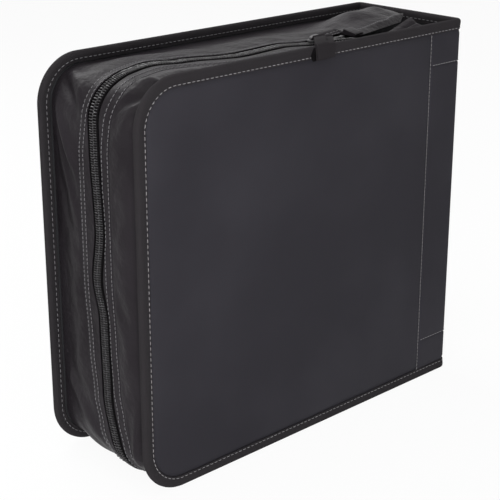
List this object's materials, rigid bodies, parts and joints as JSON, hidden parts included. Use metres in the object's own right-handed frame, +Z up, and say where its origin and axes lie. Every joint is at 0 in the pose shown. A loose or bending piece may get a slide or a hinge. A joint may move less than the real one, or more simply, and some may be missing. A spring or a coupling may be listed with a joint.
{
  "type": "zip-round disc storage case",
  "caption": "Large binder-style disc wallet with stiff leatherette covers, a zip round three sides and sleeve pages on rings inside.",
  "frame": {"origin": "middle of the footprint, on the surface that the case stands on", "axes": "+X from the fore edge to the spine, +Y from the front cover to the back cover, +Z up"},
  "size_m": [0.342, 0.1159, 0.3129],
  "materials": {
    "leatherette": "matte charcoal faux leather with a fine grain",
    "binding": "woven tape, matt",
    "nylon": "coated nylon with a soft sheen",
    "zip_tape": "woven zip tape",
    "zip_coil": "black nylon coil",
    "board": "grey board",
    "lining": "plain lining cloth",
    "slider_metal": "black painted zinc",
    "webbing": "folded woven tape",
    "strip_plastic": "moulded plastic",
    "ring_steel": "plated steel wire",
    "pages": "sleeve pages of black non-woven cloth under clear film",
    "thread": "light grey sewing thread",
    "page_film": "clear film over dark cloth"
  },
  "bodies": {
    "spine": {"spine_panel": "leatherette", "spine_top_cap": "leatherette", "spine_bottom_cap": "leatherette", "spine_board": "board", "spine_lining": "lining", "spine_top_binding": "binding", "spine_bottom_binding": "binding", "ring_strip": "strip_plastic", "ring_1": "ring_steel", "ring_2": "ring_steel", "ring_3": "ring_steel", "strip_rivet_1": "ring_steel", "strip_rivet_2": "ring_steel", "page_block": "pages"},
    "front_cover": {"front_panel": "leatherette", "front_hinge_strip": "leatherette", "front_top_cap": "leatherette", "front_bottom_cap": "leatherette", "front_board": "board", "front_lining": "lining", "front_binding": "binding", "front_gusset": "nylon", "front_zip_tape": "zip_tape", "front_zip_coil": "zip_coil", "front_top_stop": "slider_metal", "front_bottom_stop": "slider_metal"},
    "back_cover": {"back_panel": "leatherette", "back_hinge_strip": "leatherette", "back_top_cap": "leatherette", "back_bottom_cap": "leatherette", "back_board": "board", "back_lining": "lining", "back_binding": "binding", "back_gusset": "nylon", "back_zip_tape": "zip_tape", "back_zip_coil": "zip_coil", "back_top_stop": "slider_metal", "back_bottom_stop": "slider_metal"},
    "slider": {"zip_slider": "slider_metal"},
    "puller": {"puller_link": "slider_metal", "pull_tab": "webbing"}
  },
  "joints": [
    {"name": "front_cover_hinge", "type": "hinge", "parent": "spine", "child": "front_cover", "pos_m": [0.171, -0.057, 0.155], "axis": [0, 0, 1], "range_deg": [0, 120]},
    {"name": "back_cover_hinge", "type": "hinge", "parent": "spine", "child": "back_cover", "pos_m": [0.171, 0.057, 0.155], "axis": [0, 0, -1], "range_deg": [0, 120]},
    {"name": "zip_travel", "type": "slide", "parent": "front_cover", "child": "slider", "axis": [-1, 0, 0], "range_m": [-0.024, 0.088]},
    {"name": "puller_swing", "type": "hinge", "parent": "slider", "child": "puller", "pos_m": [0.034, -0.022, 0.3073], "axis": [-1, 0, 0], "range_deg": [0, 150]}
  ]
}
